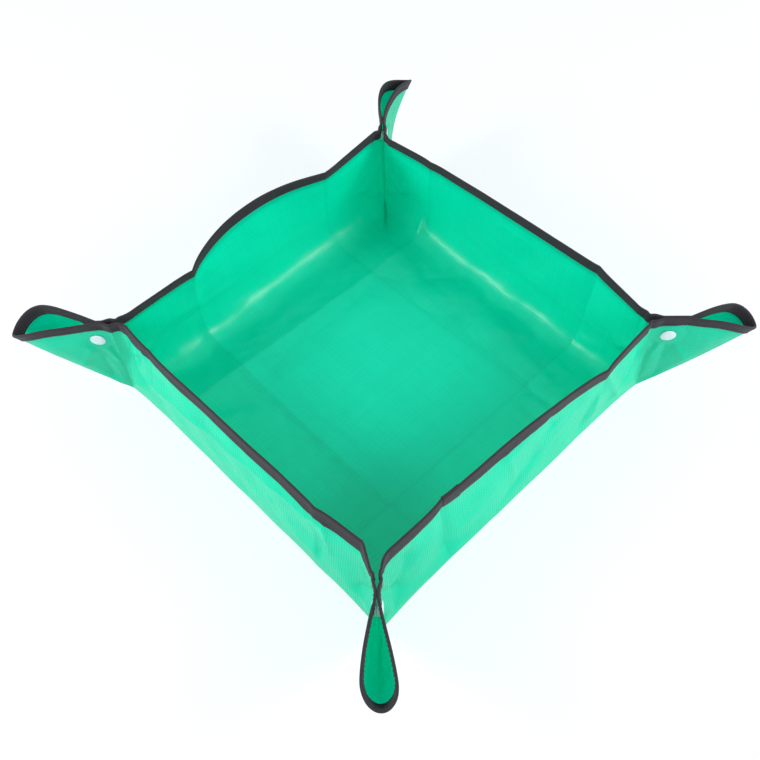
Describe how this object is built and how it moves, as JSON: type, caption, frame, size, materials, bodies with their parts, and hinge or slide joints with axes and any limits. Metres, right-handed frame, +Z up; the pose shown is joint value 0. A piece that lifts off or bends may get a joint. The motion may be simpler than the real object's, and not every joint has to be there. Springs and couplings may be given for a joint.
{
  "type": "folding repotting mat",
  "caption": "Square woven-plastic repotting mat with a black bound edge, snapped up at its corners into a shallow tray with four round ears; it unsnaps and folds out flat.",
  "frame": {"origin": "under the middle of the floor panel, on the surface that the mat rests on", "axes": "+Z up out of the tray; +X and +Y square to the east and north walls"},
  "size_m": [0.4294, 0.4294, 0.0975],
  "materials": {
    "green_sheet": "satin laminated sheet with a fine woven grain and soft creases",
    "black_tape": "matte woven binding tape with one line of stitching",
    "white_plastic": "smooth moulded resin"
  },
  "bodies": {
    "floor": {"sheet_floor": "green_sheet"},
    "wall_south": {"sheet_wall_south": "green_sheet", "tape_wall_south": "black_tape"},
    "wall_east": {"sheet_wall_east": "green_sheet", "tape_wall_east": "black_tape", "tape_lap": "black_tape"},
    "wall_north": {"sheet_wall_north": "green_sheet", "tape_wall_north": "black_tape"},
    "wall_west": {"sheet_wall_west": "green_sheet", "tape_wall_west": "black_tape"},
    "ear_se_south": {"sheet_ear_se_south": "green_sheet", "tape_ear_se_south": "black_tape", "snap_cap_se_south": "white_plastic", "snap_stud_se_south": "white_plastic"},
    "ear_se_east": {"sheet_ear_se_east": "green_sheet", "tape_ear_se_east": "black_tape", "snap_cap_se_east": "white_plastic", "snap_socket_se_east": "white_plastic"},
    "ear_ne_east": {"sheet_ear_ne_east": "green_sheet", "tape_ear_ne_east": "black_tape", "snap_cap_ne_east": "white_plastic", "snap_stud_ne_east": "white_plastic"},
    "ear_ne_north": {"sheet_ear_ne_north": "green_sheet", "tape_ear_ne_north": "black_tape", "snap_cap_ne_north": "white_plastic", "snap_socket_ne_north": "white_plastic"},
    "ear_nw_north": {"sheet_ear_nw_north": "green_sheet", "tape_ear_nw_north": "black_tape", "snap_cap_nw_north": "white_plastic", "snap_stud_nw_north": "white_plastic"},
    "ear_nw_west": {"sheet_ear_nw_west": "green_sheet", "tape_ear_nw_west": "black_tape", "snap_cap_nw_west": "white_plastic", "snap_socket_nw_west": "white_plastic"},
    "ear_sw_west": {"sheet_ear_sw_west": "green_sheet", "tape_ear_sw_west": "black_tape", "snap_cap_sw_west": "white_plastic", "snap_stud_sw_west": "white_plastic"},
    "ear_sw_south": {"sheet_ear_sw_south": "green_sheet", "tape_ear_sw_south": "black_tape", "snap_cap_sw_south": "white_plastic", "snap_socket_sw_south": "white_plastic"}
  },
  "joints": [
    {"name": "fold_south", "type": "hinge", "parent": "floor", "child": "wall_south", "pos_m": [0, -0.154, 0.00025], "axis": [1, 0, 0], "range_deg": [0, 90]},
    {"name": "fold_east", "type": "hinge", "parent": "floor", "child": "wall_east", "pos_m": [0.154, 0, 0.00025], "axis": [0, 1, 0], "range_deg": [0, 90]},
    {"name": "fold_north", "type": "hinge", "parent": "floor", "child": "wall_north", "pos_m": [0, 0.154, 0.00025], "axis": [-1, 0, 0], "range_deg": [0, 90]},
    {"name": "fold_west", "type": "hinge", "parent": "floor", "child": "wall_west", "pos_m": [-0.154, 0, 0.00025], "axis": [0, -1, 0], "range_deg": [0, 90]},
    {"name": "fold_ear_se_south", "type": "hinge", "parent": "wall_south", "child": "ear_se_south", "pos_m": [0.154, -0.154, 0.00025], "axis": [-0.0454, 0, 0.999], "range_deg": [0, 43.3]},
    {"name": "fold_ear_se_east", "type": "hinge", "parent": "wall_east", "child": "ear_se_east", "pos_m": [0.154, -0.154, 0.00025], "axis": [0, -0.0454, -0.999], "range_deg": [0, 43.3]},
    {"name": "fold_ear_ne_east", "type": "hinge", "parent": "wall_east", "child": "ear_ne_east", "pos_m": [0.154, 0.154, 0.00025], "axis": [0, -0.0454, 0.999], "range_deg": [0, 43.3]},
    {"name": "fold_ear_ne_north", "type": "hinge", "parent": "wall_north", "child": "ear_ne_north", "pos_m": [0.154, 0.154, 0.00025], "axis": [0.0454, 0, -0.999], "range_deg": [0, 43.3]},
    {"name": "fold_ear_nw_north", "type": "hinge", "parent": "wall_north", "child": "ear_nw_north", "pos_m": [-0.154, 0.154, 0.00025], "axis": [0.0454, 0, 0.999], "range_deg": [0, 43.3]},
    {"name": "fold_ear_nw_west", "type": "hinge", "parent": "wall_west", "child": "ear_nw_west", "pos_m": [-0.154, 0.154, 0.00025], "axis": [0, 0.0454, -0.999], "range_deg": [0, 43.3]},
    {"name": "fold_ear_sw_west", "type": "hinge", "parent": "wall_west", "child": "ear_sw_west", "pos_m": [-0.154, -0.154, 0.00025], "axis": [0, 0.0454, 0.999], "range_deg": [0, 43.3]},
    {"name": "fold_ear_sw_south", "type": "hinge", "parent": "wall_south", "child": "ear_sw_south", "pos_m": [-0.154, -0.154, 0.00025], "axis": [-0.0454, 0, -0.999], "range_deg": [0, 43.3]}
  ],
  "couplings": [
    {"joint": "fold_east", "follows": "fold_south", "ratio": 1},
    {"joint": "fold_north", "follows": "fold_south", "ratio": 1},
    {"joint": "fold_west", "follows": "fold_south", "ratio": 1},
    {"joint": "fold_ear_se_south", "follows": "fold_south", "ratio": 0.48101},
    {"joint": "fold_ear_se_east", "follows": "fold_south", "ratio": 0.48101},
    {"joint": "fold_ear_ne_east", "follows": "fold_south", "ratio": 0.48101},
    {"joint": "fold_ear_ne_north", "follows": "fold_south", "ratio": 0.48101},
    {"joint": "fold_ear_nw_north", "follows": "fold_south", "ratio": 0.48101},
    {"joint": "fold_ear_nw_west", "follows": "fold_south", "ratio": 0.48101},
    {"joint": "fold_ear_sw_west", "follows": "fold_south", "ratio": 0.48101},
    {"joint": "fold_ear_sw_south", "follows": "fold_south", "ratio": 0.48101}
  ]
}
